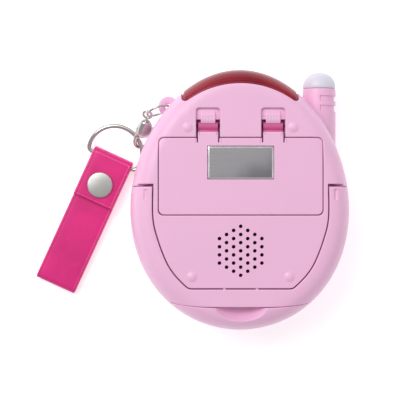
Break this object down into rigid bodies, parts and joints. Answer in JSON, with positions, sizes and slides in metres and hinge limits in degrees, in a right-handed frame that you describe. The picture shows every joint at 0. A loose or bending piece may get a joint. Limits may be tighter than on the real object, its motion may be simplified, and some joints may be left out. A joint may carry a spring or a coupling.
{
  "type": "virtual pet keychain",
  "caption": "Egg-shaped hand-held virtual pet toy with aerial, red window, hinged battery door and fold-out stand, on a clasp and snapped strap",
  "frame": {"origin": "centre of the whole object's bounding box in plan, at the height of the surface it lies on", "axes": "+Z out of the toy's back, which faces up; +Y towards the red window and the aerial's tip; +X towards the aerial's side, the strap on -X"},
  "size_m": [0.1106, 0.09, 0.0276],
  "materials": {
    "pink_casing": "satin moulded pink plastic",
    "pale_tip": "pale pinkish white moulded plastic",
    "red_window": "polished dark red see-through plastic",
    "nickel": "bright nickel plating",
    "brushed_plate": "brushed nickel plate",
    "steel": "plain steel",
    "strap": "glossy magenta coated synthetic leather",
    "white_plastic": "white moulded plastic",
    "screen": "clear, greenish grey display",
    "board": "green circuit board",
    "rubber": "translucent grey silicone",
    "black": "black plastic or resin"
  },
  "bodies": {
    "casing": {"front_shell": "pink_casing", "back_shell": "pink_casing", "infrared_window": "red_window", "aerial_stem": "pink_casing", "aerial_tip": "pale_tip", "screen_surround": "white_plastic", "screen_lens": "screen", "lcd_glass": "screen", "lcd_holder": "white_plastic", "lcd_connector": "rubber", "circuit_board": "board", "potted_controller": "black", "infrared_module": "black", "button_mat": "rubber", "battery_tray": "white_plastic", "battery_upper": "black", "battery_lower": "black", "contact_link": "steel", "contact_tab": "steel", "contact_spring": "steel", "speaker": "steel", "speaker_gasket": "black", "case_screw_1": "steel", "case_screw_2": "steel", "case_screw_3": "steel", "case_screw_4": "steel", "screw_plug_1": "pink_casing", "screw_plug_2": "pink_casing", "screw_plug_3": "pink_casing", "screw_plug_4": "pink_casing", "hinge_pin_left": "steel", "hinge_pin_right": "steel", "stand_pivot_left": "steel", "stand_pivot_right": "steel"},
    "stand": {"rear_stand": "pink_casing"},
    "door": {"battery_door": "pink_casing", "door_plate": "brushed_plate"},
    "left_button": {"button_left": "white_plastic"},
    "middle_button": {"button_middle": "white_plastic"},
    "right_button": {"button_right": "white_plastic"},
    "split_ring": {"jump_ring": "nickel"},
    "swivel": {"swivel_eye": "nickel"},
    "clasp": {"clasp_body": "nickel", "gate_pin": "steel"},
    "gate": {"clasp_gate": "nickel"},
    "d_link": {"d_ring": "nickel"},
    "strap": {"strap_band": "strap", "snap_stud": "steel"},
    "flap": {"strap_flap": "strap", "snap_socket": "steel", "snap_cap": "nickel"}
  },
  "joints": [
    {"name": "stand_fold", "type": "hinge", "parent": "casing", "child": "stand", "pos_m": [0.01736, 0.00225, 0.0252], "axis": [-1, 0, 0], "range_deg": [0, 50]},
    {"name": "door_hinge", "type": "hinge", "parent": "casing", "child": "door", "pos_m": [0.01736, 0.025, 0.0242], "axis": [-1, 0, 0], "range_deg": [0, 75]},
    {"name": "left_button_press", "type": "slide", "parent": "casing", "child": "left_button", "axis": [0, 0, 1], "range_m": [0, 0.0008], "stiffness_N_per_m": 800},
    {"name": "middle_button_press", "type": "slide", "parent": "casing", "child": "middle_button", "axis": [0, 0, 1], "range_m": [0, 0.0008], "stiffness_N_per_m": 800},
    {"name": "right_button_press", "type": "slide", "parent": "casing", "child": "right_button", "axis": [0, 0, 1], "range_m": [0, 0.0008], "stiffness_N_per_m": 800},
    {"name": "ring_swing", "type": "hinge", "parent": "casing", "child": "split_ring", "pos_m": [-0.00734, 0.0324, 0.0144], "axis": [0, 0, 1], "range_deg": [-60, 0]},
    {"name": "swivel_swing", "type": "hinge", "parent": "split_ring", "child": "swivel", "pos_m": [-0.01464, 0.02964, 0.0144], "axis": [0, 0, 1], "range_deg": [-35, 0]},
    {"name": "clasp_swivel", "type": "hinge", "parent": "swivel", "child": "clasp", "pos_m": [-0.01464, 0.02964, 0.0144], "axis": [-0.1799, -0.671, -0.7193], "range_deg": [0, 8]},
    {"name": "gate_open", "type": "hinge", "parent": "clasp", "child": "gate", "pos_m": [-0.01406, 0.02461, 0.00797], "axis": [-0.3216, 0.7312, -0.6016], "range_deg": [0, 18], "stiffness_Nm_per_rad": 0.002, "springref_deg": -5.73},
    {"name": "d_ring_swing", "type": "hinge", "parent": "clasp", "child": "d_link", "pos_m": [-0.01721, 0.0194, 0.00332], "axis": [0.9296, 0.1231, -0.3473], "range_deg": [-4, 4]},
    {"name": "strap_swing", "type": "hinge", "parent": "d_link", "child": "strap", "pos_m": [-0.02794, 0.0142, 0.0025], "axis": [0.9096, -0.4156, 0], "range_deg": [-60, 0]},
    {"name": "flap_open", "type": "hinge", "parent": "strap", "child": "flap", "pos_m": [-0.02794, 0.0142, 0.0049], "axis": [-0.9096, 0.4156, 0], "range_deg": [0, 80]}
  ]
}
